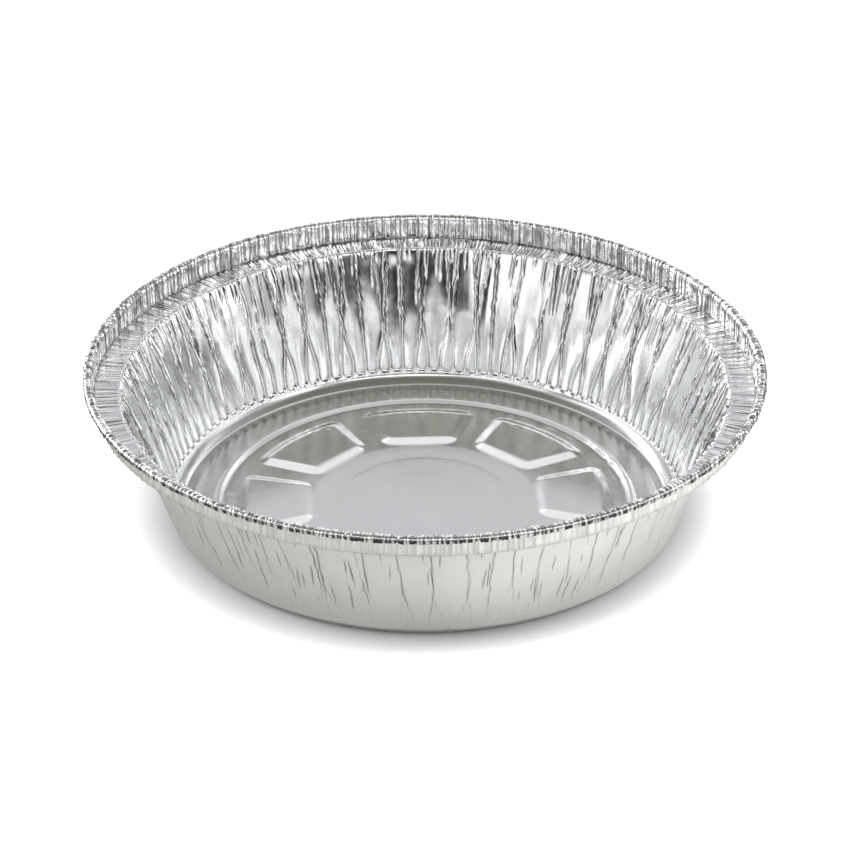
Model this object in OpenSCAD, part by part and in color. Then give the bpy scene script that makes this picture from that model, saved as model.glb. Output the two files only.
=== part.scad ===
// Round foil pie tin: one sheet of foil, pressed in a die.
// The inside skin is worked out ring by ring, from the middle of the base to the end of
// the rolled bead. The outside skin is the same rings, moved out by the foil's thickness.

/* [Pan] */
// Diameter over the rolled bead
rim_d = 230; // [210:1:250]
// Height from the table to the top of the bead
pan_h = 54.7; // [45:0.1:65]
// Thickness of the foil
foil = 0.08; // [0.06:0.01:0.16]
// How far the wall leans out between its foot and the ledge
wall_lean = 16; // [8:0.5:22]
// Width of the round between the base and the wall
foot_round = 4; // [3:0.1:6]
// Height of the round between the base and the wall
foot_h = 2.9; // [2:0.1:5]

/* [Rim] */
// Width of the flat ledge that a lid rests on
ledge_w = 8.9; // [6:0.1:12]
// Height of the top of the bead above the ledge
lip_h = 8.5; // [6:0.1:12]
// How far the lip leans out between the ledge and the bead
lip_lean = 0.2; // [0:0.1:1]
// Diameter of the rolled bead
bead_d = 3.3; // [2.6:0.1:4]
// How far the edge is curled round, in degrees
curl = 345; // [300:5:350]
// How much narrower the curl is at its hidden end, as a share of its radius
curl_in = 0.4; // [0.2:0.05:0.6]
// How far the gathered lip and bead wander in and out
gather = 0.12; // [0:0.02:0.3]

/* [Folds] */
// Number of folds round the foot of the wall
folds = 121; // [90:1:130]
// Height of a fold just above the foot
fold_foot_h = 0.5; // [0.2:0.05:0.8]
// Height of a fold at its tallest, above half way up
fold_mid_h = 1; // [0.4:0.05:1.3]
// Height of a fold where it is pressed flat at the ledge
fold_top_h = 0.7; // [0.3:0.05:0.9]
// Width of a fold at its root
fold_w = 1.3; // [0.8:0.1:1.8]
// How far the face between two folds bellies out
face_belly = 0.3; // [0:0.05:0.5]
// How far a fold strays by the time it reaches the ledge, in spaces between folds
fold_stray = 0.38; // [0:0.02:0.4]

/* [Base] */
// Width of the flat band that the pan stands on
stand_w = 10.4; // [8:0.1:14]
// Width of the raised ring inside that band
ring_w = 2.6; // [2:0.1:4]
// Height of the raised ring above the flat band
ring_h = 1; // [0.5:0.1:1.6]
// Height of the floor inside the ring above the flat band
floor_lift = 0.3; // [0:0.05:0.4]
// Width of the channel between the ring and the raised panels
channel_w = 4.8; // [2:0.1:8]
// Number of raised panels
panels = 8; // [6:1:10]
// Length of a panel from the channel inwards, with its slopes
panel_len = 26.9; // [18:0.1:30]
// Height of a panel above the floor
panel_h = 1; // [0.5:0.1:1.8]
// Width of the slope round a panel
panel_slope = 2.2; // [1.4:0.1:3]
// How much is cut off the corners of a panel
corner_cut = 0.9; // [0:0.1:1.5]
// Width of the spoke between two panels, at its inner end
spoke_w = 4.9; // [3:0.1:8]
// How much wider the spoke is at the channel
spoke_flare = 3.7; // [2:0.1:6]
// Turn of the panels round the middle, in degrees
panel_turn = 2.7; // [0:0.1:45]
// Width of the flat band between the panels and the round field in the middle
hub_w = 8.2; // [5:0.1:12]
// Width of the step round the middle field
field_slope = 1.6; // [1:0.1:2.5]
// Height of the step round the middle field
field_h = 0.25; // [0.1:0.05:0.6]

/* [Hidden] */

// Radii of the inside skin, worked inwards from the bead
bead_r = bead_d / 2;
curl_r = rim_d / 2 - bead_r;
lip_r = curl_r - bead_r - lip_lean;
wall_top_r = lip_r - ledge_w;
foot_r = wall_top_r - wall_lean;
stand_r = foot_r - foot_round;
ring_out_r = stand_r - stand_w;
ring_in_r = ring_out_r - ring_w;
panel_out = ring_in_r - channel_w;
panel_in = panel_out - panel_len;
field_r = panel_in - hub_w;

// Heights of the inside skin: the outside of the flat band is at zero
stand_z = foil;
foot_z = stand_z + foot_h;
floor_z = stand_z + floor_lift;
field_z = floor_z + field_h;
panel_z = floor_z + panel_h;
ledge_z = pan_h - lip_h;
curl_z = pan_h - bead_r;

// The round at the foot passes through this share of its width and height
round_share = [0.7, 0.3];

// Columns: seven for each panel, then one for each fold at the rim, and three on the wall
panel_cols = 7;
base_cols = panels * panel_cols;

// Height shares at which the folds are drawn, from the foot to the ledge
low = 0.16;
tall = 0.55;
fold_rows = [0, low, tall, 1];

// The curl is drawn every 60 degrees over the outside, and in two steps beneath
curl_angles = [180, 120, 60, 0, (180 - curl) / 2, 180 - curl];

// Sharpest corner that the foil's thickness is carried round in full
sharpest = 0.4;

function mix(a, b, t) = a + (b - a) * t;

function polar(r, a, z) = [r * cos(a), r * sin(a), z];

// A number from 0 to 1, always the same for one fold and one use
function chance(k, use) =
    let (v = 4375.85 * sin(k * 97.13 + use * 41.7))
    v - floor(v);

// Base: rings that follow the panels
// Angle of each of the seven columns from the middle of its panel, at radius r
function column_angles(r) =
    let (
        pitch = 360 / panels,
        grown = spoke_flare / 2 * (r - panel_in) / panel_len,
        foot = pitch / 2 - asin((spoke_w / 2 + grown) / r),
        top = pitch / 2 - asin((spoke_w / 2 + grown + panel_slope) / r)
    )
    [0, top / 2, top, foot, pitch - foot, pitch - top, pitch - top / 2];

// One ring through the panels: raised on their tops, straight along their inner ends
function panel_ring(r, straight, raised, cut) =
    let (
        corner = straight ? r / cos(160 / panels) : r,
        angles = column_angles(corner)
    )
    [for (p = [0:panels - 1], c = [0:panel_cols - 1])
        let (
            a = angles[c],
            from_middle = min(a, 360 / panels - a),
            at_corner = raised ? (c == 2 || c == 5) : (c == 3 || c == 4),
            on_top = raised && c != 3 && c != 4
        )
        polar(
            (straight ? r / cos(from_middle) : r) + (at_corner ? cut : 0),
            panel_turn + p * 360 / panels + a,
            on_top ? panel_z : floor_z
        )
    ];

function even_ring(r, z, cols, turn = 0) =
    [for (i = [0:cols - 1]) polar(r, turn + i * 360 / cols, z)];

function turned_ring(r, z) = even_ring(r, z, base_cols, panel_turn);

// The rings of the base start at the column that lies nearest to zero degrees
first_col = base_cols - round(panel_turn * base_cols / 360);
function from_zero(ring) =
    [for (i = [0:base_cols - 1]) ring[(i + first_col) % base_cols]];

// From the middle outwards
function base_rings() = [
    turned_ring(field_r - field_slope, field_z),
    turned_ring(field_r, floor_z),
    panel_ring(panel_in, true, false, corner_cut),
    panel_ring(panel_in + panel_slope, true, true, corner_cut),
    panel_ring(panel_out - panel_slope, false, true, -corner_cut),
    panel_ring(panel_out, false, false, -corner_cut),
    turned_ring(ring_in_r, floor_z),
    turned_ring(ring_out_r - ring_w / 2, stand_z + ring_h),
    turned_ring(ring_out_r, stand_z),
    turned_ring(stand_r, stand_z)
];

// Wall: each fold is a ridge that stands in from the faces on its two sides
// Place of fold k round the wall at height share s, in spaces between folds: some folds
// have strayed their full way by half the height
function fold_place(k, s) =
    let (
        same = (k + folds) % folds,
        side = 2 * chance(same, 1) - 1,
        ripe = mix(0.5, 1, chance(same, 5))
    )
    k + fold_stray * side * min(1, s / ripe);

// Share of its height that fold k keeps beside another: the lesser of a close pair dies out
function fold_share(k, other, s) =
    chance(k, 2) > chance((other + folds) % folds, 2) ? 1 :
    min(1, max(0.1, 2.5 * abs(fold_place(k, s) - fold_place(other, s)) - 0.5));

// Height of fold k: some fade on the way up, and the others grow
function fold_height(k, s) =
    let (
        fade = chance(k, 3) < 0.3 ? mix(1.1, 0.25, s) : mix(0.8, 1.2, s),
        full = lookup(s, [[0, 0], [low, fold_foot_h], [tall, fold_mid_h], [1, fold_top_h]])
    )
    full * fade * mix(0.7, 1.3, chance(k, 2))
    * fold_share(k, k - 1, s) * fold_share(k, k + 1, s);

function wall_ring(s) =
    let (
        r = mix(foot_r, wall_top_r, s),
        z = mix(foot_z, ledge_z, s),
        face_r = r + lookup(s, [[0, 0], [low, face_belly], [tall, face_belly], [1, 0]]),
        pitch = 360 / folds,
        root = s == 0 ? 1 : asin(fold_w / 2 / r) / pitch
    )
    [for (k = [0:folds - 1])
        let (
            here = fold_place(k, s),
            next = fold_place(k + 1, s),
            edge = min(root, (next - here) / 3)
        )
        each [
            polar(r - fold_height(k, s), here * pitch, z),
            polar(face_r, (here + edge) * pitch, z),
            polar(face_r, (next - edge) * pitch, z)
        ]
    ];

// Rim: the foil is gathered here, so that each column lies a little in or out
function gathered_ring(place) =
    [for (i = [0:folds - 1])
        polar(place[0] - gather * chance(i, 4), i * 360 / folds, place[1])
    ];

// Point of the curl at angle a: the upper corners reach its full height, the end turns in
function curl_place(a) =
    let (
        upper = a > 0 && a < 180,
        r = bead_r * (upper ? 1 / sin(a) : 1 - curl_in * max(0, -a) / (curl - 180))
    )
    [curl_r + r * cos(a), curl_z + r * sin(a)];

// Section of the inside skin from the flat band outwards, as radius and height
section = [
    [stand_r, stand_z],
    [mix(stand_r, foot_r, round_share[0]), mix(stand_z, foot_z, round_share[1])],
    for (s = fold_rows) [mix(foot_r, wall_top_r, s), mix(foot_z, ledge_z, s)],
    [lip_r, ledge_z],
    for (a = curl_angles) curl_place(a)
];

rings_in = [
    for (ring = base_rings()) from_zero(ring),
    even_ring(section[1][0], section[1][1], folds),
    for (s = fold_rows) wall_ring(s),
    gathered_ring([lip_r, ledge_z]),
    for (a = curl_angles) gathered_ring(curl_place(a))
];

// Outside skin
// Sum of two unit normals, made as long as it takes to clear both faces by one unit
function corner_normal(a, b) = (a + b) / max(sharpest, 1 + a * b);

// Outward normal of the step from one point to the next
function step_normal(from, to) =
    let (d = [to[0] - from[0], to[1] - from[1]])
    [d[1], -d[0]] / norm(d);

// Outward direction at point i of the section
function section_normal(i) =
    let (
        last = len(section) - 1,
        before = i == 0 ? [0, -1] : step_normal(section[i - 1], section[i]),
        after = i == last ? before : step_normal(section[i], section[i + 1])
    )
    corner_normal(before, after);

// One ring moved out by the foil's thickness along normal: radius, height
function outer_ring(ring, normal) =
    let (n = len(ring))
    [for (i = [0:n - 1])
        let (
            before = step_normal(ring[(i + n - 1) % n], ring[i]),
            after = step_normal(ring[i], ring[(i + 1) % n]),
            out = corner_normal(before, after) * normal[0]
        )
        ring[i] + foil * [out[0], out[1], normal[1]]
    ];

flat_rings = len(base_rings()) - 1;
rings_out = [
    for (i = [0:len(rings_in) - 1])
        outer_ring(rings_in[i], i < flat_rings ? [0, -1] : section_normal(i - flat_rings))
];

// Points: the two middles, then the inside rings, then the outside rings
middles = [[0, 0, field_z], [0, 0, field_z - foil]];
points = [each middles, for (ring = rings_in) each ring, for (ring = rings_out) each ring];

// Number of the first point of each inside ring
function sum_to(values, last) = last < 0 ? 0 : values[last] + sum_to(values, last - 1);
sizes = [for (ring = rings_in) len(ring)];
starts = [for (i = [0:len(sizes) - 1]) len(middles) + sum_to(sizes, i - 1)];
skin_points = sum_to(sizes, len(sizes) - 1);
last_ring = len(sizes) - 1;

// Triangles between two rings of n and m points that start at numbers a and b
function band(a, n, b, m) = [
    for (i = [0:n - 1]) [a + i, a + (i + 1) % n, b + ceil(m * (i + 0.5) / n - 0.5) % m],
    for (j = [0:m - 1]) [a + floor(n * (j + 0.5) / m + 0.5) % n, b + (j + 1) % m, b + j]
];

function turned_over(faces) = [for (f = faces) [f[0], f[2], f[1]]];

// Triangles of one skin, whose middle and first ring start at these numbers
function skin(middle, first) = [
    for (i = [0:base_cols - 1])
        [middle, first + starts[0] + (i + 1) % base_cols, first + starts[0] + i],
    for (i = [0:last_ring - 1])
        each band(first + starts[i], sizes[i], first + starts[i + 1], sizes[i + 1])
];

faces = [
    each skin(0, 0),
    each turned_over(skin(1, skin_points)),
    each band(starts[last_ring], folds, skin_points + starts[last_ring], folds)
];

module foil_pan() {
    color([0.82, 0.83, 0.84])
        polyhedron(points = points, faces = faces, convexity = 12);
}

foil_pan();
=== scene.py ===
"""Foil pie tin: one pressed sheet of foil, dressed with its fine folds, creases and crimps.

The sheet is rolled up from its section in three stretches that share their edges: the base, the
wall and the rim. Each stretch is then folded by moving its points, and given the foil's thickness.
"""
import math

import bmesh
import bpy
import numpy as np
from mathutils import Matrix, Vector


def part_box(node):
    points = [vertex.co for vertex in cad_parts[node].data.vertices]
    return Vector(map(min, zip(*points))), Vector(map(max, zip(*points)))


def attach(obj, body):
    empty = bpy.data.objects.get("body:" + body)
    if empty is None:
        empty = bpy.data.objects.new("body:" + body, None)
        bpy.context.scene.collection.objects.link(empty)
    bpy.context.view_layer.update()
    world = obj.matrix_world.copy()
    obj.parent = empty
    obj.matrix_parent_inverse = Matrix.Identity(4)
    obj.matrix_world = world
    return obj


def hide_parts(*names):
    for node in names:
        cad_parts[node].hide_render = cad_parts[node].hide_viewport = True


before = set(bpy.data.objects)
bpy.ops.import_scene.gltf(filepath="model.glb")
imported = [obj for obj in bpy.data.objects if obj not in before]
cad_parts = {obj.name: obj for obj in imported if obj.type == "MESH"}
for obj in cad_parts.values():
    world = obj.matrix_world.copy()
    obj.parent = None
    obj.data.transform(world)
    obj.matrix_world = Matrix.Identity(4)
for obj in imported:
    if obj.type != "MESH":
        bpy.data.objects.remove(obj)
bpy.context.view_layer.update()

# Sizes of the tin, in millimetres, worked inwards from the rim as the solid's are
MM = 0.001
_, rim_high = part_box("foil_pan")
RIM_D = 230.0
PAN_H = round(rim_high[2] / MM, 1)
FOIL = 0.08
WALL_LEAN = 16.0
FOOT_ROUND = 4.0
FOOT_H = 2.9
LEDGE_W = 8.9
LIP_H = 8.5
LIP_LEAN = 0.2
BEAD_D = 3.3
CURL = 345.0
CURL_IN = 0.4
GATHER = 0.12

STAND_W = 10.4
RING_W = 2.6
RING_H = 1.0
FLOOR_LIFT = 0.3
CHANNEL_W = 4.8
PANELS = 8
PANEL_LEN = 26.9
PANEL_H = 1.0
PANEL_SLOPE = 2.2
PANEL_CORNER = 4.0
SPOKE_W = 4.9
SPOKE_FLARE = 3.7
PANEL_TURN = 2.7
HUB_W = 8.2
FIELD_SLOPE = 1.6
FIELD_RISE = 0.04

BEAD_R = BEAD_D / 2
CURL_R = RIM_D / 2 - BEAD_R
LIP_R = CURL_R - BEAD_R - LIP_LEAN
WALL_TOP_R = LIP_R - LEDGE_W
FOOT_R = WALL_TOP_R - WALL_LEAN
STAND_R = FOOT_R - FOOT_ROUND
RING_OUT_R = STAND_R - STAND_W
RING_IN_R = RING_OUT_R - RING_W
PANEL_OUT = RING_IN_R - CHANNEL_W
PANEL_IN = PANEL_OUT - PANEL_LEN
FIELD_R = PANEL_IN - HUB_W
STAND_Z = FOIL
FOOT_Z = STAND_Z + FOOT_H
FLOOR_Z = STAND_Z + FLOOR_LIFT
LEDGE_Z = PAN_H - LIP_H
CURL_Z = PAN_H - BEAD_R
WALL_SLOPE = math.hypot(WALL_LEAN, LEDGE_Z - FOOT_Z)

# Where the stretches of the sheet meet: on the flat band, and just outside the ledge's inner edge
BASE_EDGE_R = 79.0
LEDGE_EDGE_R = WALL_TOP_R + 1.0

# Folds round the tin, and columns of points round each stretch
FOLDS = 121
BASE_COLUMNS = 5 * FOLDS
COLUMNS = 20 * FOLDS

# Bands of folds on the wall. Heights are shares of the wall's, and places are in spaces between
# folds. A pair is the least and the most, or where something starts and where it is full
BAND_SIZES = [1, 2, 3]
BAND_ODDS = [0.25, 0.63, 0.12]
BAND_STRAY = 0.2
BAND_FROM, BAND_TO = 0.10, 0.95
BAND_MEETS = (0.34, 0.56)
BAND_SPREAD = (0.40, 0.90)
BAND_TIGHT = 0.13
BAND_WIDTH = 2.6
WANDER = 0.08
WANDER_STEPS = 38
WANDER_AT = (0.2, 0.5)

# Each fold's ridge: its height and half its width in millimetres, at heights up the wall
FOLD_TALL_AT = [0, 0.05, 0.16, 0.55, 1]
FOLD_TALL = [0, 0.06, 0.26, 0.80, 0.80]
FOLD_HALF_AT = [0, 0.3, 0.5, 1]
FOLD_HALF = [0.40, 0.42, 0.50, 0.46]
FOLD_EDGE = 1.35
FOLD_STRENGTH = (0.6, 1.2)
CRUMPLE = 0.55
CRUMPLE_STEPS = 44
CRUMPLE_AT = (0.28, 0.45)
WEAK_SHARE = 0.2
WEAK_HEIGHT = 0.3
WEAK_AT = (0.35, 0.6)

# Creases outside, up the bands and scattered: half their width, how firm and how long they are
CREASE_DEPTH = 0.5
CREASE_HALF = 0.42
CREASE_FIRM = (0.25, 1.0)
CREASE_EVEN, CREASE_CRUMPLED = 0.55, 0.8
FORK_FIRM, SIDE_FORK_FIRM = 0.55, 0.5
FORK_LONG, FORK_END = 0.3, 0.02
SHORT_CREASES = 170
SHORT_HALF = 0.36
SHORT_AT = (0.25, 0.95)
SHORT_REACH = (0.04, 0.16)
SHORT_SLANT = 1.2
SHORT_FIRM = (0.3, 1.0)

# Hollows of the faces between folds: where they start, how deep they are, how high up, and how
# much they lean in or out
LEAF_START = (0.006, 0.016)
LEAF_TIP = (0.28, 0.66)
LEAF_DEPTH = (0.45, 0.72)
LEAF_LEAN = (-1.1, 0.9)
LEAN_MIDDLE = 0.35
LEAN_AT = (0.12, 0.35)
TIP_ROUND = 0.22
HOLLOW_STEP = 0.022
HOLLOW_BOW = 0.05
HOLLOW_SOFT = 0.3
HOLLOW_LEFT = 0.08
HOLLOW_FADE = 0.82
NARROWEST, NARROW = 0.02, 0.4
BLUNT_LOW, BLUNT_HIGH = 5.0, 2.1
BLUNT_AT = (0.03, 0.25)

# Short fingers under the ledge: places for each fold, and the share of them that have one
FINGERS = 3
FINGER_SHARE = 0.7
FINGER_STRAY = 0.4
FINGER_START = 0.05
FINGER_LEAST, FINGER_MORE, FINGER_POWER = 0.05, 0.40, 1.8
FINGER_TALL = (0.3, 0.65)
FINGER_SLANT = 0.9
FINGER_HALF = (0.34, 0.50)

# Noise on the wall: its height in millimetres, knots in a turn, knots up the wall, and seed
SOFT = (0.20, 110, 2, 11)
SOFTER = (0.03, 300, 3, 13)
FINE = (0.38, 430, 2, 14)
FINER = (0.05, 800, 3, 15)

# The wall's slow curves, and how far its outside stands off between folds
BOW_IN = 0.6
PAD = 0.70
SWELL = 0.22
SWELL_KNOTS = 44
PRINT_THROUGH = 0.12

# Rows up the wall, and how much of the relief is left on the turn onto the ledge
ROWS_AT_FOOT = [0.008, 0.015, 0.022, 0.029, 0.036, 0.045, 0.055, 0.068, 0.085, 0.11, 0.145, 0.18]
ROWS_ABOVE = 26
TURN_OVER = 0.5
TURN_OVER_AT = (0, 0.33, 0.67, 1)
TURN_OVER_HOLD = [0.95, 0.75, 0.5, 0.32, 0.2]
FOOT_ROUND_ROWS = 6
FOOT_ROUND_PULL = 0.28
# Painted shade in rows across the round at the foot, dimming its bright reflection, and along each
# hollow's lower end
FOOT_SHADES = [0.38, 0.25, 0.52, 0.45, 0.58, 0.45, 0.15]
OUTLINE_SHADE = 0.8

# Columns between the pleats of the lip and of the bead: the fewest, and one past the most
LIP_PLEATS = (3, 8)
BEAD_PLEATS = (3, 6)
PIT_SHARE = 0.3

# How far the pleats' faces tilt out and how deep the grooves, pits and specks are, in millimetres
LEDGE_FACES, LEDGE_GROOVES = 0.24, 0.34
LIP_FACES, LIP_GROOVES = 0.42, 0.40
BEAD_FACES, BEAD_GROOVES, BEAD_LINES = 0.20, 0.34, 0.10
CORNER_PITS, LIP_PITS = 0.28, 0.12
LIP_SPECKS, BEAD_SPECKS = 0.005, 0.03

# Painted shade and painted dark reflections: how dark the rim's grooves, stripes, blotches and inner
# corner look
GROOVE_SHADE, LEDGE_SHADE = 0.85, 0.6
STRIPE_SHADE, BLOTCH_SHADE = 0.8, 0.7
CORNER_SHADE, LEDGE_END_SHADE = 0.5, 0.8

# Rows of the rim's section. The bead's front rows get painted black bars between its pleats, a
# painted dark reflection
LIP_ROWS = [0.5, 1.7, 3.3, 5.0, LIP_H - BEAD_R]
CURL_ROWS = 10
BAR_ROWS = ((3, 0.5), (4, 1.0), (5, 1.0), (6, 0.8))

# The base is a little dished between its middle and its ring. Small bumps stand on it: the place
# of each as radius and degrees, its half width and its height
DISH_AT = [18, 25, 30, 35, 38, 44, 64]
DISH = [0, 0.08, 0.26, 0.52, 0.66, 0.55, 0]
SMALL_BUMPS = ((60, 125, 2.8, 0.34), (60, 57, 2.8, 0.34), (68, 175.6, 1.4, 0.18))
SOFT_SLOPE = 1.75 * PANEL_SLOPE
RING_DENT = 0.14
# Painted shade over the ring's bright band and the panels' far slopes, toning down their shine
RING_SHADE = 0.40
FAR_SLOPE_SHADE = 0.35

# Seeds of the random draws
SEED_BANDS, SEED_WANDER, SEED_FOLDS = 5, 6, 7
SEED_SWAY, SEED_SLIP = 8, 9
SEED_SWELL = 16
SEED_LIP, SEED_BEAD, SEED_SPECKS = 21, 22, 23
SEED_BARS, SEED_STRIPES, SEED_BLOTCHES = 24, 25, 26
SEED_RING = 31


def mix(a, b, t):
    return a + (b - a) * t


def smooth(x, low=0.0, high=1.0):
    t = np.clip((x - low) / (high - low), 0, 1)
    return t * t * (3 - 2 * t)


def ripples(turns, heights, across, up, seed):
    """Smooth noise from -1 to 1 round the tin: across knots in a turn, and up in a unit of height."""
    rows = int(np.ceil(up * np.max(heights))) + 3
    knots = np.random.default_rng(seed).uniform(-1, 1, (rows, across))
    x, y = turns * across, heights * up
    i, j = np.floor(x).astype(int), np.floor(y).astype(int)
    u, v = smooth(x - i), smooth(y - j)
    i, after = i % across, (i + 1) % across
    low_row = mix(knots[j, i], knots[j, after], u)
    high_row = mix(knots[j + 1, i], knots[j + 1, after], u)
    return mix(low_row, high_row, v)


def wall_noise(turns, up, kind):
    """Ripples of one kind: height in millimetres, knots in a turn, knots up the wall, and seed."""
    tall, across, knots_up, seed = kind
    return tall * ripples(turns, up, across, knots_up, seed)


def level_ripples(turns, across, seed):
    """Ripples that are alike at every height."""
    return ripples(turns, np.zeros((1, 1)), across, 1, seed)


# Building a stretch of the sheet
def rolled_sheet(name, section, columns, first=0, last=None, sharp_rows=()):
    """A grid rolled up round Z: a column for each step of the turn, a row for each section point.

    The section runs outwards or upwards along the tin's inside. It may come back down the outside
    to its own start, and then the sheet is a closed shell. Without a last column it goes all the
    way round.
    """
    steps = columns if last is None else last - first
    rows = len(section)
    bm = bmesh.new()
    bmesh.ops.create_grid(bm, x_segments=steps, y_segments=rows - 1, size=0.5)
    row_of, column_of = bm.verts.layers.int.new("row"), bm.verts.layers.int.new("column")
    for point in bm.verts:
        point[row_of] = round((point.co.y + 0.5) * (rows - 1))
        point[column_of] = (first + round((point.co.x + 0.5) * steps)) % columns
        r, z = section[point[row_of]]
        angle = 2 * math.pi * point[column_of] / columns
        point.co = (r * math.cos(angle) * MM, r * math.sin(angle) * MM, z * MM)
    bmesh.ops.remove_doubles(bm, verts=bm.verts, dist=1e-7)
    closed = section[0] == section[-1]
    ends = [edge for edge in bm.edges if edge.is_boundary]
    if closed:
        bmesh.ops.holes_fill(bm, edges=ends, sides=0)
    for edge in bm.edges:
        low, high = (point[row_of] % (rows - 1) for point in edge.verts)
        if low == high and low in sharp_rows:
            edge.smooth = False
    for edge in ends:
        edge.smooth = False
    for face in bm.faces:
        face.smooth = True
    bmesh.ops.recalc_face_normals(bm, faces=bm.faces)
    inner = next(face for face in bm.faces if any(point[row_of] == 0 for point in face.verts))
    if not closed and inner.normal.z < 0:
        bmesh.ops.reverse_faces(bm, faces=bm.faces)
    mesh = bpy.data.meshes.new(name)
    bm.to_mesh(mesh)
    bm.free()
    sheet = bpy.data.objects.new(name, mesh)
    bpy.context.collection.objects.link(sheet)
    return sheet


def grid_of(sheet):
    """Row and column of each point of a rolled sheet."""
    mesh = sheet.data
    places = {}
    for name in ("row", "column"):
        places[name] = np.empty(len(mesh.vertices), np.int32)
        mesh.attributes[name].data.foreach_get("value", places[name])
    return places["row"], places["column"]


def lay(sheet, radius, turn, height):
    """Moves each point of a rolled sheet to its own radius, share of a turn and height."""
    rows, cols = grid_of(sheet)
    r, angle = radius[rows, cols] * MM, turn[rows, cols] * 2 * math.pi
    places = np.stack([r * np.cos(angle), r * np.sin(angle), height[rows, cols] * MM], axis=1)
    sheet.data.vertices.foreach_set("co", places.ravel())
    sheet.data.update()


def store(sheet, name, values):
    """Keeps one number for each point, for the foil's finish to read."""
    rows, cols = grid_of(sheet)
    mark = sheet.data.attributes.new(name, "FLOAT", "POINT")
    mark.data.foreach_set("value", values[rows, cols].ravel())


def thicken(sheet):
    """Gives an open sheet the foil's thickness on its outside."""
    foil = sheet.modifiers.new("foil", "SOLIDIFY")
    foil.thickness = FOIL * MM
    foil.offset = -1
    foil.use_even_offset = True
    foil.thickness_clamp = 2.0
    foil.material_offset = 1
    foil.material_offset_rim = 1


def inward_ways(section):
    """Which way the tin's inside faces at each section point, as radius and height."""
    run = np.gradient(np.array(section), axis=0)
    run /= np.hypot(run[:, 0], run[:, 1])[:, None]
    return -run[:, 1], run[:, 0]


def valleys(lift):
    """How far each point lies in a narrow groove, from 0 to 1: it sets the painted shade in grooves.
    """
    dark = np.zeros_like(lift)
    for reach, depth in ((1, 0.09), (3, 0.40)):
        beside = (np.roll(lift, reach, axis=1) + np.roll(lift, -reach, axis=1)) / 2
        dark = np.maximum(dark, np.clip((beside - lift - 0.01) / depth, 0, 1))
    return dark


# The wall. Its regular flutes at the foot gather, about half way up, into crumpled bands
def gathering():
    """For each fold: its seat in its band, the band's middle, where it meets, and its spread."""
    draw = np.random.default_rng(SEED_BANDS)
    band, seat, middle, count = [], [], [], 0
    while len(band) < FOLDS:
        size = min(int(draw.choice(BAND_SIZES, p=BAND_ODDS)), FOLDS - len(band))
        middle += [len(band) + (size - 1) / 2 + draw.uniform(-BAND_STRAY, BAND_STRAY)] * size
        band += [count] * size
        seat += [i - (size - 1) / 2 for i in range(size)]
        count += 1
    meets = draw.uniform(*BAND_MEETS, count)[band]
    spread = draw.uniform(*BAND_SPREAD, count)[band]
    return np.array(seat), np.array(middle), meets, spread


def fold_paths(s):
    """Place round the tin of every fold, in spaces between folds, for each height share."""
    seat, middle, meets, spread = gathering()
    k = np.arange(FOLDS)
    up = s[:, None]
    joined = middle + seat * BAND_TIGHT
    parted = middle + seat * spread
    place = mix(k + 0 * up, joined, smooth(up, BAND_FROM, meets))
    place = mix(place, parted, smooth(up, meets, BAND_TO))
    knots = np.arange(WANDER_STEPS + 2)
    wander = np.random.default_rng(SEED_WANDER).uniform(-1, 1, (len(knots), FOLDS))
    steps = np.stack([np.interp(s * WANDER_STEPS, knots, wander[:, i]) for i in k], axis=1)
    return place + WANDER * steps * smooth(up, *WANDER_AT)


def from_place(turns, place):
    """How far each column lies from a place round the tin, in spaces between folds."""
    return (turns * FOLDS - place[:, None] + FOLDS / 2) % FOLDS - FOLDS / 2


def fold_ridges(s, turns, paths, pitch, draw):
    """The folds' ridges inside, the crumpled bands round them, and the creases outside."""
    seat, _, meets, _ = gathering()
    ridges, creases, bands = (np.zeros_like(turns) for _ in range(3))
    knots_at = np.arange(CRUMPLE_STEPS + 2)
    crumple = draw.uniform(-1, 1, (len(knots_at), FOLDS))
    strength = draw.uniform(*FOLD_STRENGTH, FOLDS)
    weak = draw.random(FOLDS) < WEAK_SHARE
    full = np.interp(s, FOLD_TALL_AT, FOLD_TALL)
    half = np.interp(s, FOLD_HALF_AT, FOLD_HALF) / pitch
    for k in range(FOLDS):
        away = np.abs(from_place(turns, paths[:, k]))
        knots = np.interp(s * CRUMPLE_STEPS, knots_at, crumple[:, k])
        tall = full * strength[k] * (1 + CRUMPLE * knots * smooth(s, *CRUMPLE_AT))
        if weak[k]:
            tall = tall * mix(1.0, WEAK_HEIGHT, smooth(s, *WEAK_AT))
        across = away / half[:, None]
        ridges = np.maximum(ridges, tall[:, None] * np.maximum(0, 1 - across) ** FOLD_EDGE)
        bands = np.maximum(bands, tall[:, None] * np.maximum(0, 1 - across / BAND_WIDTH))
        # The outside shows a thin crease up each band, forked below where its folds meet
        firm = draw.uniform(*CREASE_FIRM)
        fork = smooth(s, meets[k] - FORK_LONG, meets[k])
        if seat[k] <= 0:
            line = firm * np.where(s > meets[k], 1.0, FORK_FIRM * fork)
            line = line * (CREASE_EVEN + CREASE_CRUMPLED * np.maximum(0, knots))
        else:
            line = SIDE_FORK_FIRM * firm * fork
            line = line * (1 - smooth(s, meets[k], meets[k] + FORK_END))
        thin = np.maximum(0, 1 - away * pitch[:, None] / CREASE_HALF)
        creases = np.maximum(creases, line[:, None] * thin)
    return ridges, bands, creases


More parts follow.
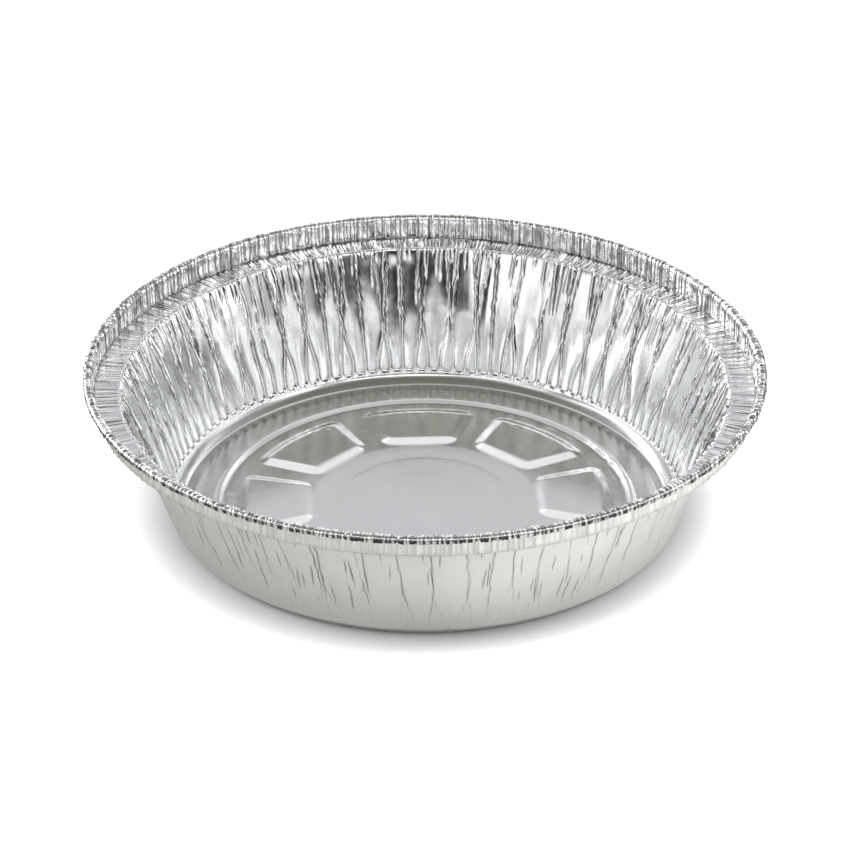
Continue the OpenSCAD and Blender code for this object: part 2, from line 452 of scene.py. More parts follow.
def short_creases(s, turns, pitch, draw):
    """Short creases scattered over the wall's outside."""
    creases = np.zeros_like(turns)
    for _ in range(SHORT_CREASES):
        place = draw.uniform(0, FOLDS)
        middle, reach = draw.uniform(*SHORT_AT), draw.uniform(*SHORT_REACH)
        slant, firm = draw.uniform(-SHORT_SLANT, SHORT_SLANT), draw.uniform(*SHORT_FIRM)
        away = np.abs(from_place(turns, place + slant * (s - middle)))
        across = away * pitch[:, None] / SHORT_HALF
        line = firm * np.maximum(0, 1 - ((s - middle) / reach) ** 2)
        creases = np.maximum(creases, line[:, None] * np.maximum(0, 1 - across))
    return creases


def face_hollows(s, turns, paths, draw):
    """The faces between folds, pressed outwards above a rounded lower end, and where that end gets a
    painted dark outline.
    """
    up = s[:, None]
    hollows, outline = np.zeros_like(turns), np.zeros_like(turns)
    start = draw.uniform(*LEAF_START, FOLDS)
    leaf_tip = draw.uniform(*LEAF_TIP, FOLDS)
    leaf_depth = draw.uniform(*LEAF_DEPTH, FOLDS)
    lean = draw.uniform(*LEAF_LEAN, FOLDS)
    for k in range(FOLDS):
        left, right = paths[:, k], paths[:, (k + 1) % FOLDS] + (FOLDS if k == FOLDS - 1 else 0)
        half = np.maximum((right - left) / 2, NARROWEST)
        across = np.abs(from_place(turns, (left + right) / 2) / half[:, None])
        inside = across < 1
        bow = np.clip(across, 0, 1)
        stepped = np.clip((up - start[k] - HOLLOW_BOW * bow ** 3) / HOLLOW_STEP, 0, 1)
        foot = mix(stepped, smooth(stepped), HOLLOW_SOFT)
        # Deep at the lower end, and shallow above a pointed tip
        tip = leaf_tip[k] + TIP_ROUND * (1 - bow ** 2)
        risen = np.clip((up - HOLLOW_LEFT) / (tip - HOLLOW_LEFT), 0, 1)
        narrow = np.minimum(1, half[:, None] / NARROW)
        risen = mix(risen, smooth(risen), HOLLOW_SOFT)
        depth = mix(leaf_depth[k], HOLLOW_LEFT, risen) * narrow
        depth = depth + lean[k] * (up - LEAN_MIDDLE) * smooth(up, *LEAN_AT)
        blunt = mix(BLUNT_LOW, BLUNT_HIGH, smooth(up, *BLUNT_AT))
        hollows += np.where(inside, foot * depth * (1 - bow ** blunt), 0)
        outline += np.where(inside, 4 * stepped * (1 - stepped) * (1 - bow ** 8), 0)
    hollows *= 1 - smooth(up, HOLLOW_FADE, 1.0)
    return hollows, outline


def ledge_fingers(s, turns, pitch, draw):
    """Short fingers that run down from the ledge."""
    fingers = np.zeros_like(turns)
    count = FINGERS * FOLDS
    stray = draw.uniform(-FINGER_STRAY, FINGER_STRAY, count)
    for place in (np.arange(count) + stray) / FINGERS:
        there = draw.random() < FINGER_SHARE
        long = FINGER_LEAST + FINGER_MORE * draw.random() ** FINGER_POWER
        tall, slant = draw.uniform(*FINGER_TALL), draw.uniform(-FINGER_SLANT, FINGER_SLANT)
        half = draw.uniform(*FINGER_HALF)
        if there:
            away = np.abs(from_place(turns, place + slant * (1 - s))) * pitch[:, None] / half
            begun = np.clip((s - (1 - long)) / FINGER_START, 0, 1)[:, None]
            shape = np.sqrt(np.maximum(0, 1 - away ** 2)) * begun
            fingers = np.maximum(fingers, tall * shape)
    return fingers


def wall_relief(s, turns):
    """How far the wall's inside stands out of its cone, and its outside, in millimetres.

    Also how creased the inside is, and the painted dark outline at the lower end of each face.
    """
    up = s[:, None]
    pitch = 2 * math.pi * mix(FOOT_R, WALL_TOP_R, s) / FOLDS
    paths = fold_paths(s)
    draw = np.random.default_rng(SEED_FOLDS)
    ridges, bands, creases = fold_ridges(s, turns, paths, pitch, draw)
    creases = np.maximum(creases, short_creases(s, turns, pitch, draw))
    hollows, outline = face_hollows(s, turns, paths, draw)
    ridges = np.maximum(ridges, ledge_fingers(s, turns, pitch, draw))

    soft = wall_noise(turns, up, SOFT) * smooth(up, 0.2, 0.6)
    soft += wall_noise(turns, up, SOFTER) * smooth(up, 0.1, 0.5)
    fine = wall_noise(turns, up, FINE) + wall_noise(turns, up, FINER)
    fine = fine * bands * smooth(up, 0.25, 0.5)
    bow_in = BOW_IN * 4 * up * (1 - up)
    inside = ridges - hollows + soft + fine + bow_in

    # The outside is calmer: it stands off over the hollows and swells slowly between them
    pad = PAD * smooth(up, 0, 0.02) * mix(1, 0.5, smooth(up, 0.5, 0.75)) * (1 - smooth(up, 0.93, 1))
    swell = SWELL * (ripples(turns, up, SWELL_KNOTS, 2, SEED_SWELL) - 1)
    swell = swell * smooth(up, 0.05, 0.3) * (1 - smooth(up, 0.85, 1))
    print_through = PRINT_THROUGH * (hollows - 0.2) * smooth(up, 0.05, 0.1)
    outside = swell + soft + bow_in - FOIL - np.maximum(pad, hollows) - print_through
    outside = np.minimum(outside, soft + bow_in - FOIL - hollows)
    outside = outside + CREASE_DEPTH * creases * smooth(up, 0.05, 0.12)

    # Nowhere does the inside come through, not even between two rows
    lowest = inside.copy()
    lowest[1:-1] = np.minimum.reduce([inside[:-2], inside[1:-1], inside[2:]])
    lowest = np.minimum.reduce([np.roll(lowest, -1, axis=1), lowest, np.roll(lowest, 1, axis=1)])
    outside = np.minimum(outside, lowest - 0.9 * FOIL)
    crease = np.clip(1.4 * ridges * smooth(up, 0.2, 0.5), 0, 1)
    return inside, outside, crease, outline


def foot_round_rows(count):
    """Section of the round at the foot, level at the base and in line with the wall above."""
    wall_run = WALL_LEAN / WALL_SLOPE
    wall_rise = (LEDGE_Z - FOOT_Z) / WALL_SLOPE
    pull_up = FOOT_ROUND_PULL * FOOT_H
    ends = [
        (STAND_R, STAND_Z),
        (STAND_R + FOOT_ROUND_PULL * FOOT_ROUND, STAND_Z),
        (FOOT_R - pull_up * wall_run, FOOT_Z - pull_up * wall_rise),
        (FOOT_R, FOOT_Z),
    ]
    rows = []
    for t in np.linspace(0, 1, count):
        weights = ((1 - t) ** 3, 3 * t * (1 - t) ** 2, 3 * t * t * (1 - t), t ** 3)
        rows.append(tuple(sum(w * end[axis] for w, end in zip(weights, ends)) for axis in (0, 1)))
    return rows


def turn_onto_ledge():
    """Section of the small round from the wall onto the ledge."""
    run = TURN_OVER * WALL_LEAN / WALL_SLOPE
    rise = TURN_OVER * (LEDGE_Z - FOOT_Z) / WALL_SLOPE
    rows = []
    for t in TURN_OVER_AT:
        back, on = (1 - t) ** 2, t ** 2
        rows.append((WALL_TOP_R - run * back + TURN_OVER * on, LEDGE_Z - rise * back))
    rows.append((LEDGE_EDGE_R, LEDGE_Z))
    return rows


def wall():
    """The round at the foot, the folded wall and its turn onto the ledge, in two halves.

    With them come the number of inside rows and the relief at the edge that the rim goes on from.
    """
    shares = np.concatenate([ROWS_AT_FOOT, np.linspace(ROWS_AT_FOOT[-1], 0.985, ROWS_ABOVE)[1:]])
    foot = [(BASE_EDGE_R, STAND_Z), (BASE_EDGE_R + 1.8, STAND_Z), *foot_round_rows(FOOT_ROUND_ROWS)]
    turn_over = turn_onto_ledge()
    inner = [(mix(FOOT_R, WALL_TOP_R, s), mix(FOOT_Z, LEDGE_Z, s)) for s in shares]
    inner = foot + inner + turn_over
    inner_s = np.concatenate([np.zeros(len(foot)), shares, np.ones(len(turn_over))])
    hold = np.concatenate([np.zeros(len(foot)), np.ones(len(shares)), TURN_OVER_HOLD])
    count = len(inner)
    # The outside keeps every other row of the wall
    back_down = [0, 1, 2, 4, 6, *range(7, count - 6, 2), *range(count - 6, count)][::-1]

    even = np.arange(COLUMNS) / COLUMNS
    turns = np.tile(even, (count, 1))
    inside, outside, crease, outline = wall_relief(inner_s, turns)
    way_r, way_z = inward_ways(inner)
    base_r, base_z = np.array(inner).T

    def skin(lift, rows):
        moved = lift[rows]
        r = base_r[rows, None] + moved * way_r[rows, None]
        return r, base_z[rows, None] + moved * way_z[rows, None]

    in_r, in_z = skin(inside * hold[:, None], list(range(count)))
    outer_lift = mix(np.full_like(outside, -FOIL), outside, hold[:, None])
    # The last rows' outside follows the inside, so that it meets the ledge's
    outer_lift[-4:] = inside[-4:] * hold[-4:, None] - FOIL
    out_r, out_z = skin(outer_lift, back_down)
    radius = np.vstack([in_r, out_r, in_r[:1]])
    height = np.vstack([in_z, out_z, in_z[:1]])

    marks = np.vstack([crease * hold[:, None], crease[back_down] * 0, crease[:1] * 0])
    # Painted shade: the inside darker in its grooves, at each hollow's lower end and in rows across
    # the round at the foot; the outside darker in its creases
    dark = np.maximum(valleys(inside), OUTLINE_SHADE * outline) * hold[:, None]
    dark[1:len(foot)] = np.array(FOOT_SHADES)[:, None]
    light = valleys(-outside) * hold[:, None]
    shades = np.vstack([dark, light[back_down], dark[:1]])

    # The outside's section is only a stand-in, a little off the inside's, until the sheet is laid
    section = inner + [(base_r[i] + 0.1, base_z[i] - 0.1) for i in back_down] + [inner[0]]
    sharp = {0, count - 1, count, len(section) - 2}
    halves = []
    for name, first in (("pan_wall_back", 0), ("pan_wall_front", COLUMNS // 2)):
        half = rolled_sheet(name, section, COLUMNS, first, first + COLUMNS // 2, sharp)
        store(half, "crease", marks)
        store(half, "painted_shade", shades)
        lay(half, radius, np.tile(even, (len(section), 1)), height)
        halves.append(half)
    return halves, count, inside[-1] * hold[-1]


# The rim
def pleats(seed, least, most):
    """Uneven flat pleats round the rim: their tilted faces, from -1 to 1, and grooves between."""
    draw = np.random.default_rng(seed)
    spots = np.cumsum(draw.integers(least, most, COLUMNS))
    spots = spots[spots < COLUMNS - least]
    faces = np.interp(np.arange(COLUMNS), spots, draw.uniform(-1, 1, len(spots)), period=COLUMNS)
    grooves = np.zeros(COLUMNS)
    depth = draw.uniform(0.15, 1.0, len(spots))
    grooves[spots] = depth
    for beside in (spots - 1, spots + 1):
        np.maximum.at(grooves, beside % COLUMNS, 0.55 * depth)
    pits = np.zeros(COLUMNS)
    deep = spots[draw.random(len(spots)) < PIT_SHARE]
    for beside, share in ((-1, 0.6), (0, 1.0), (1, 0.6)):
        np.maximum.at(pits, (deep + beside) % COLUMNS, share)
    return faces, grooves, pits


def rim_section():
    """Section of the ledge, the lip and the curled bead, and how many points the ledge has."""
    ledge = [LEDGE_EDGE_R, WALL_TOP_R + 3.2, WALL_TOP_R + 5.9, LIP_R - 0.8, LIP_R - 0.15]
    section = [(r, LEDGE_Z) for r in ledge]
    section += [(mix(LIP_R, LIP_R + LIP_LEAN, h / LIP_H), LEDGE_Z + h) for h in LIP_ROWS]
    for a in np.linspace(180, 180 - CURL, CURL_ROWS + 1)[1:]:
        reach = BEAD_R * (1 - CURL_IN * max(0, -a) / (CURL - 180))
        across, up = math.cos(math.radians(a)), math.sin(math.radians(a))
        section.append((CURL_R + reach * across, CURL_Z + reach * up))
    return section, len(ledge)


def rim_shades(turn, lift, flat, pits, bead_grooves):
    """Painted shade on each point of the rim, from 0 to 1: grooves, and stripes and blotches that
    stand in for dark reflections.
    """
    rows = len(lift)
    bead = flat + len(LIP_ROWS)
    up_rows = np.arange(rows)[:, None] / rows
    sidelong = np.abs(np.cos(2 * math.pi * turn))
    stripes = STRIPE_SHADE * smooth(ripples(turn, up_rows, 1000, 5, SEED_STRIPES), 0.15, 0.42)
    blotches = BLOTCH_SHADE * smooth(ripples(turn, up_rows, 330, 9, SEED_BLOTCHES), 0.25, 0.5)
    stripes = stripes * mix(0.7, 1.0, sidelong)
    blotches = blotches * mix(0.3, 1.05, sidelong)
    dark = np.maximum(GROOVE_SHADE * valleys(lift), np.maximum(stripes, blotches))
    lines = smooth(bead_grooves, 0.3, 0.75) * mix(0.3, 1.0, sidelong[:flat])
    dark[:flat] = np.maximum(LEDGE_SHADE * valleys(lift)[:flat], lines)
    # Painted black bars between the bead's front pleats, standing in for its dark reflections
    bars = smooth(level_ripples(turn[:1], 1400, SEED_BARS)[0], -0.25, 0.05)
    for row, share in BAR_ROWS:
        dark[bead + row] = np.maximum(dark[bead + row] * 0.5, share * bars)
    # Painted shade in the corner between ledge and lip, deepest in its pits, and on the ledge's last
    # row
    dark[flat] = np.maximum(np.maximum(dark[flat], pits), CORNER_SHADE)
    dark[flat - 1] = LEDGE_END_SHADE
    return dark


def rim(edge):
    """The ledge, the lip and the rolled bead, from the wall's turned edge outwards."""
    section, flat = rim_section()
    sheet = rolled_sheet("pan_rim", section, COLUMNS)
    rows, bead = len(section), flat + len(LIP_ROWS)

    faces, grooves, pits = pleats(SEED_LIP, *LIP_PLEATS)
    bead_faces, bead_grooves, _ = pleats(SEED_BEAD, *BEAD_PLEATS)
    turn = np.tile(np.arange(COLUMNS) / COLUMNS, (rows, 1))
    specks = np.random.default_rng(SEED_SPECKS).uniform(-1, 1, (rows, COLUMNS))
    lift = np.zeros((rows, COLUMNS))
    lift[:flat] = LEDGE_FACES * bead_faces - LEDGE_GROOVES * bead_grooves
    lift[flat:bead] = LIP_FACES * faces - LIP_GROOVES * grooves + LIP_SPECKS * specks[flat:bead]
    under = smooth(np.arange(CURL_ROWS), CURL_ROWS * 0.65, CURL_ROWS)[:, None]
    on_bead = BEAD_FACES * faces - BEAD_GROOVES * grooves - BEAD_LINES * bead_grooves
    lift[bead:] = on_bead * (1 - under)
    lift[bead:] += BEAD_SPECKS * specks[bead:]
    lift[flat - 1] *= 0.3
    lift[flat] -= CORNER_PITS * pits
    lift[flat + 1] -= LIP_PITS * pits
    lift[0] = edge
    lift[1] = mix(edge, lift[1], 0.7)

    way_r, way_z = inward_ways(section)
    way_r[0], way_z[0] = 0, 1
    base_r, base_z = np.array(section).T
    radius = base_r[:, None] + lift * way_r[:, None]
    height = base_z[:, None] + lift * way_z[:, None]
    sway = 0.5 * GATHER * (level_ripples(turn[:1], FOLDS, SEED_SWAY)[0] - 1)
    radius[flat:] += sway
    slip = 0.35 / COLUMNS * ripples(turn, np.arange(rows)[:, None] / rows, 300, 6, SEED_SLIP)
    turn = turn + slip * smooth(np.arange(rows), 0, 2)[:, None]
    store(sheet, "crease", np.tile(0.15 + 0.6 * pits, (rows, 1)))
    # Painted shade, read by the foil's colour
    store(sheet, "painted_shade", rim_shades(turn, lift, flat, pits, bead_grooves))
    lay(sheet, radius, turn, height)
    return sheet


# The base
def panel_depth(x, y):
    """How far a point lies inside the nearest panel's outline, in millimetres."""
    r = np.hypot(x, y)
    pitch = 2 * math.pi / PANELS
    a = np.arctan2(y, x) - math.radians(PANEL_TURN)
    from_middle = (a + pitch / 2) % pitch - pitch / 2
    from_spoke = pitch / 2 - np.abs(from_middle)
    half = SPOKE_W / 2 + SPOKE_FLARE / 2 * (r - PANEL_IN) / PANEL_LEN
    ways_in = [
        r * np.cos(from_middle) - PANEL_IN,
        PANEL_OUT - r,
        r * np.sin(np.clip(from_spoke, 0, pitch / 2)) - half,
    ]
    short = np.sqrt(sum(np.maximum(PANEL_CORNER - way, 0) ** 2 for way in ways_in))
    return PANEL_CORNER - short


def base():
    """The flat band, the ring, the raised panels and the middle field."""
    panel_rows = np.linspace(FIELD_R + 2, PANEL_OUT + 1, 48)
    ring_rows = np.linspace(RING_IN_R - 1.9, RING_OUT_R + 0.9, 12)
    field_rows = np.linspace(FIELD_R - FIELD_SLOPE - 0.4, FIELD_R + 0.4, 5)
    radii = [0, 6, 14, 19, 23, *field_rows, *panel_rows, *ring_rows, 75.2, 77.0, BASE_EDGE_R]
    section = [(r, FLOOR_Z) for r in radii]
    sheet = rolled_sheet("pan_base", section, BASE_COLUMNS)

    turn = np.tile(np.arange(BASE_COLUMNS) / BASE_COLUMNS, (len(radii), 1))
    radius = np.tile(np.array(radii)[:, None], (1, BASE_COLUMNS))
    x, y = radius * np.cos(turn * 2 * math.pi), radius * np.sin(turn * 2 * math.pi)
    deep = np.clip(panel_depth(x, y) / SOFT_SLOPE, 0, 1)
    height = FLOOR_Z + PANEL_H * mix(smooth(deep), deep, 0.75)
    height += FIELD_RISE * (1 - smooth(radius, FIELD_R - FIELD_SLOPE, FIELD_R))
    height += np.interp(radius, DISH_AT, DISH)
    for r, degrees, wide, tall in SMALL_BUMPS:
        there = math.radians(degrees)
        away = np.hypot(x - r * math.cos(there), y - r * math.sin(there)) / wide
        height += tall * (1 - smooth(away))
    # Small dents break up the ring's shine on the right
    on_ring = smooth(1 - np.abs(radius - RING_IN_R) / 3.5)
    on_right = smooth(np.cos(2 * math.pi * turn - 0.7), 0.80, 0.97)
    height += RING_DENT * level_ripples(turn, 130, SEED_RING) * (on_ring * on_right)
    # Floor steps down to the flat band under the ring
    outer_fall = smooth(radius, RING_OUT_R - 0.6, RING_OUT_R + 0.5)
    inner_climb = np.clip((radius - RING_IN_R + 0.8) / RING_W, 0, 1)
    climbed = mix(smooth(inner_climb), inner_climb, 0.6)
    height += (RING_H - FLOOR_LIFT / 2) * climbed * (1 - outer_fall)
    height -= FLOOR_LIFT * outer_fall
    # Painted shade dims the ring's bright band and the panels' far slopes
    ring_shade = RING_SHADE * smooth(1 - np.abs(radius - RING_IN_R + 0.2) / 2.8)
    far_slope = 4 * deep * (1 - deep) * smooth(radius, PANEL_OUT - 4.4, PANEL_OUT - 3.0)
    store(sheet, "painted_shade", np.maximum(ring_shade, FAR_SLOPE_SHADE * far_slope))
    lay(sheet, radius, turn, height)
    return sheet


# Materials
class Value:
    """A number in a material: sums and products of these become Math nodes."""

    def __init__(self, finish, socket):
        self.finish, self.socket = finish, socket

    def _with(self, operation, *others):
        return self.finish.maths(operation, *others)

    def __add__(self, other):
        return self._with("ADD", self, other)

    def __radd__(self, other):
        return self._with("ADD", other, self)

    def __sub__(self, other):
        return self._with("SUBTRACT", self, other)

    def __rsub__(self, other):
        return self._with("SUBTRACT", other, self)

    def __mul__(self, other):
        return self._with("MULTIPLY", self, other)

    def __rmul__(self, other):
        return self._with("MULTIPLY", other, self)

    def __pow__(self, other):
        return self._with("POWER", self, other)


class Finish:
    """One node tree, built by asking for nodes by type."""

    def __init__(self, tree):
        self.tree = tree
        tree.nodes.clear()

    def node(self, kind, settings=None, **sockets):
        """A node: its settings first, then the values or links of its sockets by name or number."""
        made = self.tree.nodes.new(kind)
        for name, value in (settings or {}).items():
            setattr(made, name, value)
        for name, value in sockets.items():
            key = int(name[1:]) if name[0] == "n" and name[1:].isdigit() else name.replace("_", " ")
            self.join(value, made.inputs[key])
        return made

    def join(self, value, socket):
        if isinstance(value, Value):
            value = value.socket
        if isinstance(value, bpy.types.NodeSocket):
            self.tree.links.new(value, socket)
        else:
            socket.default_value = value

    def maths(self, operation, *values):
        made = self.tree.nodes.new("ShaderNodeMath")
        made.operation = operation
        for value, socket in zip(values, made.inputs):
            self.join(value, socket)
        return Value(self, made.outputs[0])

    def out(self, made, name=0):
        return Value(self, made.outputs[name])

    def eased(self, value, low, high):
        """0 to 1 as the value goes from low to high, or the other way round where low is higher."""
        made = self.node("ShaderNodeMapRange", {"interpolation_type": "SMOOTHSTEP"}, Value=value)
        made.inputs["From Min"].default_value = low
        made.inputs["From Max"].default_value = high
        return self.out(made, "Result")

    def blend(self, share, start, end):
        """The colour between two colours, each given as red, green and blue or as a node's output."""
        made = self.node("ShaderNodeMix", {"data_type": "RGBA"}, n0=share)
        for colour, name in ((start, "A"), (end, "B")):
            self.join((*colour, 1) if isinstance(colour, tuple) else colour, made.inputs[name])
        return made.outputs["Result"]


FOIL_DULL = (0.93, 0.94, 0.95)
FOIL_BRIGHT = (0.985, 0.99, 0.995)
# The near-black colour that painted shade darkens the foil towards
PAINTED_SHADE_COLOUR = (0.03, 0.03, 0.035)
BUMP_STRENGTH = 0.35
BUMP_DEPTH = 0.0004


def foil_finish(name, roughness, grain, shading=0.85):
    """Bright rolled foil: faint rolling lines, small crinkles, deeper where it is creased, and
    painted shade darkening its colour.
    """
    material = bpy.data.materials.new(name)
    material.use_nodes = True
    f = Finish(material.node_tree)
    place = f.node("ShaderNodeTexCoord").outputs["Object"]

    def noise(scale, detail, stretch=(1, 1, 1)):
        mapped = f.node("ShaderNodeMapping", Vector=place, Scale=stretch)
        made = f.node("ShaderNodeTexNoise", Vector=mapped.outputs[0], Scale=scale, Detail=detail)
        return f.out(made, "Fac")

    def mark(name):
        return f.out(f.node("ShaderNodeAttribute", {"attribute_name": name}), "Fac")

    rolling = noise(900, 2, (1, 0.03, 0.03))
    crinkle = noise(750, 2)
    dents = noise(110, 2)
    relief = grain * rolling + (0.02 + 0.02 * mark("crease")) * crinkle + 0.3 * dents
    bump = f.node("ShaderNodeBump", Strength=BUMP_STRENGTH, Distance=BUMP_DEPTH, Height=relief)
    tone = f.blend(noise(60, 3), FOIL_DULL, FOIL_BRIGHT)
    # Painted shade: each point's stored mark darkens the foil's colour in grooves, corners and bars,
    # standing in for shade and dark reflections
    shader = f.node(
        "ShaderNodeBsdfPrincipled",
        Metallic=1.0,
        Roughness=roughness + 0.12 * (noise(300, 2) - 0.5),
        Normal=bump.outputs[0],
        Base_Color=f.blend(shading * mark("painted_shade"), tone, PAINTED_SHADE_COLOUR),
    )
    f.node("ShaderNodeOutputMaterial", Surface=shader.outputs[0])
    return material


inside = foil_finish("foil_inside", 0.13, 0.05)
pressed = foil_finish("foil_base", 0.20, 0.10)
outside = foil_finish("foil_outside", 0.30, 0.15, 0.8)
rolled = foil_finish("foil_rim", 0.13, 0.05, 0.97)
rolled_back = foil_finish("foil_rim_back", 0.30, 0.15, 0.25)


def dress(sheet, face=inside, back=outside):
    """Gives a stretch its materials and its place in the frame."""
    sheet.data.materials.append(face)
    sheet.data.materials.append(back)
    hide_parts("foil_pan")
    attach(sheet, "root")


wall_halves, inner_rows, edge = wall()
foot_rows = 2 + FOOT_ROUND_ROWS
for half in wall_halves:
    rows, _ = grid_of(half)
    corners = [[rows[i] for i in face.vertices] for face in half.data.polygons]
    outer = np.array([min(face) >= inner_rows for face in corners], np.int32)
    foot = np.array([max(face) < foot_rows for face in corners], np.int32)
    half.data.polygons.foreach_set("material_index", outer + 2 * foot)
    dress(half)
    half.data.materials.append(pressed)
for sheet, face, back in ((base(), pressed, outside), (rim(edge), rolled, rolled_back)):
    thicken(sheet)
    dress(sheet, face, back)


# Studio: white table, soft light from above, and a dim room on the camera's side
CAMERA_DISTANCE = 1.189
CAMERA_RISE = math.radians(29.34)
LOOK_AT = Vector((0, 0, 0.0302))
LENS = 148.2
SENSOR = 36.0

TABLE_HALF = 4.0
TABLE_WHITE = (0.78, 0.785, 0.80)
# The glow is painted light: to the camera the table glows outside a ring round the tin, past its
# contact shadow. The mirrored colours are painted shade that only reflections see
TABLE_GLOW = (0.55, 0.55, 0.55)
GLOW_FROM, GLOW_TO = 0.087, 0.107
MIRRORED_LEFT = (0.50, 0.505, 0.475)
MIRRORED_RIGHT = (0.84, 0.85, 0.805)
MIRRORED_FAR = (0.02, 0.02, 0.02)
FAR_FROM, FAR_TO = 0.34, 0.26
DULL = 0.9

# Zones of the room, as parts of the direction to them: where each starts and where it is full
OVERHEAD_RISE, OVERHEAD_BACK = (0.64, 0.72), (0.26, 0.40)
FLANK_SIDE, FLANK_RISE, FLANK_BACK = (0.25, 0.42), (0.55, 0.68), (-0.1, 0.1)
HORIZON_FRONT, HORIZON_RISE = (0.3, 0.6), (0.15, 0.22)
CALM_WAY, CALM_NEAR = (0.872, 0.49), (0.93, 0.975)
ABOVE_RISE, ABOVE_FRONT = (0.72, 0.84), (-0.36, -0.22)
BEYOND_WAY, BEYOND_NEAR = (0.985, 0.17), (0.76, 0.92)
BEYOND_LOW, BEYOND_HIGH = (0.15, 0.22), (0.42, 0.55)

# The room's light in its zones: overhead, flanks, horizon, the calm spot at the back, and above
ZONE_LIGHT = (0.88, 0.5, 1.0, 0.59, 0.27)
BEYOND_DARK = 0.95
ROOM_FILL = 0.38
ABOVE_TINT = (1, 1, 0.84)
CALM_TINT = (0.975, 0.965, 1.0)


def studio_floor():
    """A white table. The photograph's was burnt out, so reflections see it dimmer than the camera."""
    bm = bmesh.new()
    bmesh.ops.create_grid(bm, x_segments=1, y_segments=1, size=TABLE_HALF)
    mesh = bpy.data.meshes.new("floor")
    bm.to_mesh(mesh)
    bm.free()
    floor = bpy.data.objects.new("floor", mesh)
    bpy.context.collection.objects.link(floor)
    material = bpy.data.materials.new("table")
    material.use_nodes = True
    f = Finish(material.node_tree)
    place = f.node("ShaderNodeSeparateXYZ", Vector=f.node("ShaderNodeTexCoord").outputs["Object"])
    away = f.maths("SQRT", f.out(place, "X") ** 2.0 + f.out(place, "Y") ** 2.0)
    # To the camera the table glows outside a ring round the tin: painted light over its contact
    # shadow
    seen = f.node(
        "ShaderNodeBsdfPrincipled",
        Base_Color=(*TABLE_WHITE, 1),
        Roughness=DULL,
        Emission_Color=f.blend(f.eased(away, GLOW_FROM, GLOW_TO), (0, 0, 0), TABLE_GLOW),
        Emission_Strength=1.0,
    )
    # Reflections see painted shade on the table: darker to the left, and dark far from the tin
    near = f.blend(8.0 * f.out(place, "X"), MIRRORED_LEFT, MIRRORED_RIGHT)
    mirrored = f.node(
        "ShaderNodeBsdfPrincipled",
        Base_Color=f.blend(f.eased(away, FAR_FROM, FAR_TO), MIRRORED_FAR, near),
        Roughness=DULL,
    )
    camera_ray = f.node("ShaderNodeLightPath").outputs["Is Camera Ray"]
    both = f.node("ShaderNodeMixShader", n0=camera_ray, n1=mirrored.outputs[0], n2=seen.outputs[0])
    f.node("ShaderNodeOutputMaterial", Surface=both.outputs[0])
    mesh.materials.append(material)


def soft_light(name, place, size, power, mirrored=False):
    """A rectangular lamp that points at the tin. The foil mirrors it only where it says so."""
    light = bpy.data.lights.new(name, "AREA")
    light.shape = "RECTANGLE"
    light.size, light.size_y = size
    light.energy = power
    lamp = bpy.data.objects.new(name, light)
    bpy.context.collection.objects.link(lamp)
    lamp.location = place
    lamp.visible_glossy = mirrored
    lamp.rotation_euler = (LOOK_AT - Vector(place)).to_track_quat("-Z", "Y").to_euler()


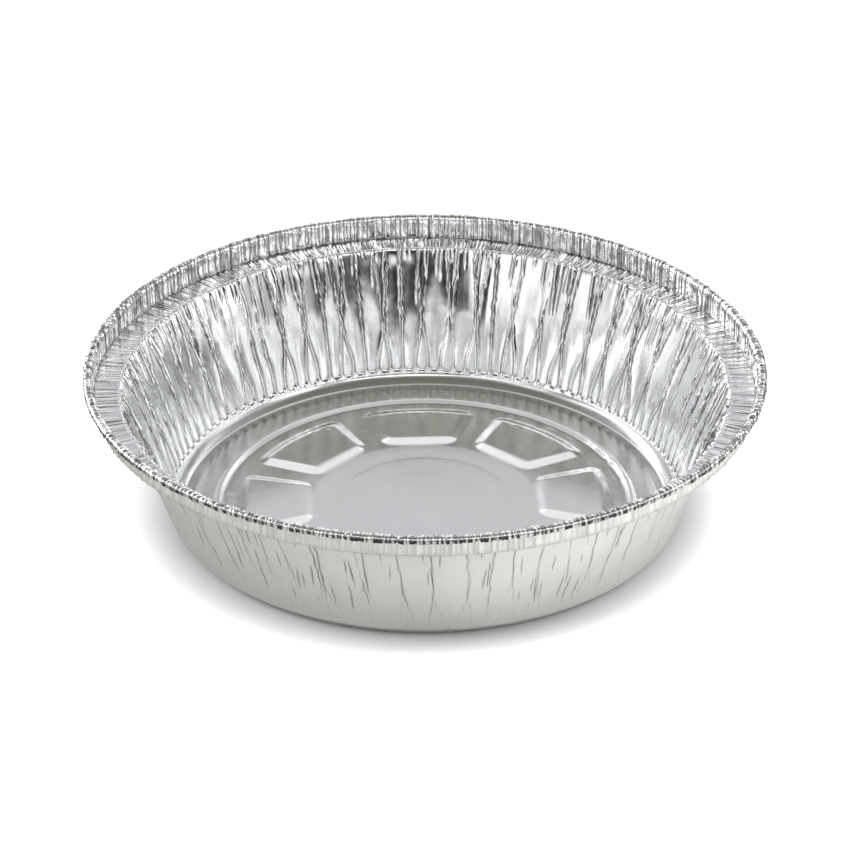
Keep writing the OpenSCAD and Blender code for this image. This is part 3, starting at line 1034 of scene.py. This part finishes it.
def room():
    """White to the camera. Reflections see bright and dim zones, as in a photographer's room."""
    world = bpy.data.worlds.new("room")
    bpy.context.scene.world = world
    world.use_nodes = True
    f = Finish(world.node_tree)
    eased = f.eased
    way = f.node("ShaderNodeTexCoord").outputs["Generated"]
    parts = f.node("ShaderNodeSeparateXYZ", Vector=way)
    side, front, rise = f.out(parts, "X"), -1.0 * f.out(parts, "Y"), f.out(parts, "Z")
    back = -1.0 * front
    sidelong = f.maths("ABSOLUTE", side)

    # Uneven walls, brighter on the right towards the camera and on the left away from it
    uneven = f.node("ShaderNodeMapping", Vector=way, Scale=(1, 1, 0.5), Location=(3.1, 0.4, 0))
    patches = f.node("ShaderNodeTexNoise", Vector=uneven.outputs[0], Scale=2.6, Detail=1.0)
    toward = eased(front, -0.2, 0.2)
    patchy = 0.37 + 2.1 * eased(f.out(patches, "Fac"), 0.42, 0.58)
    patchy = patchy * (1.0 + side * (0.95 * toward - 0.45))
    patchy = patchy * (1.0 - 0.3 * eased(front, 0.35, 0.6))

    # Zones, each as the share of it that a direction sees
    calm = eased(CALM_WAY[0] * back + CALM_WAY[1] * rise, *CALM_NEAR)
    above = eased(rise, *ABOVE_RISE) * eased(front, *ABOVE_FRONT)
    overhead = eased(rise, *OVERHEAD_RISE) * eased(back, *OVERHEAD_BACK)
    flank = eased(sidelong, *FLANK_SIDE) * eased(rise, *FLANK_RISE) * eased(back, *FLANK_BACK)
    beyond_camera = eased(BEYOND_WAY[0] * front + BEYOND_WAY[1] * side, *BEYOND_NEAR)
    beyond_camera = beyond_camera * eased(rise, *BEYOND_LOW) * (1.0 - eased(rise, *BEYOND_HIGH))
    horizon = eased(front, *HORIZON_FRONT) * (1.0 - eased(rise, *HORIZON_RISE))
    level = patchy
    for zone, brightness in zip((overhead, flank, horizon, calm, above), ZONE_LIGHT):
        level = level + zone * (brightness - level)
    level = level * (1.0 - BEYOND_DARK * beyond_camera)

    rays = f.node("ShaderNodeLightPath")
    level = level + f.out(rays, "Is Diffuse Ray") * (ROOM_FILL - level)
    tint = f.blend(above, (1, 1, 1), ABOVE_TINT)
    tint = f.blend(calm, tint, CALM_TINT)
    strength = f.maths("MAXIMUM", level, f.out(rays, "Is Camera Ray"))
    shine = f.node("ShaderNodeBackground", Color=tint, Strength=strength)
    f.node("ShaderNodeOutputWorld", Surface=shine.outputs[0])


def camera():
    """The photograph's view: centred on the tin, from the front and above."""
    data = bpy.data.cameras.new("camera")
    data.lens = LENS
    data.sensor_width = SENSOR
    cam = bpy.data.objects.new("camera", data)
    bpy.context.collection.objects.link(cam)
    back = Vector((0, -math.cos(CAMERA_RISE), math.sin(CAMERA_RISE)))
    cam.location = LOOK_AT + CAMERA_DISTANCE * back
    cam.rotation_euler = (-back).to_track_quat("-Z", "Y").to_euler()
    bpy.context.scene.camera = cam


studio_floor()
soft_light("front", (0.1, -1.1, 0.92), (0.9, 0.3), 1.0, mirrored=True)
soft_light("table_wash", (0.15, -0.56, 1.4), (1.8, 0.4), 18.3)
soft_light("table_fill", (0.2, 0, 1.7), (3.0, 3.0), 3.5)
soft_light("table_left", (-1.1, -0.35, 0.8), (1.2, 0.5), 3)
soft_light("table_right", (1.1, -0.35, 0.8), (1.2, 0.5), 1.5)
room()
camera()
bpy.context.scene.view_settings.view_transform = "Standard"
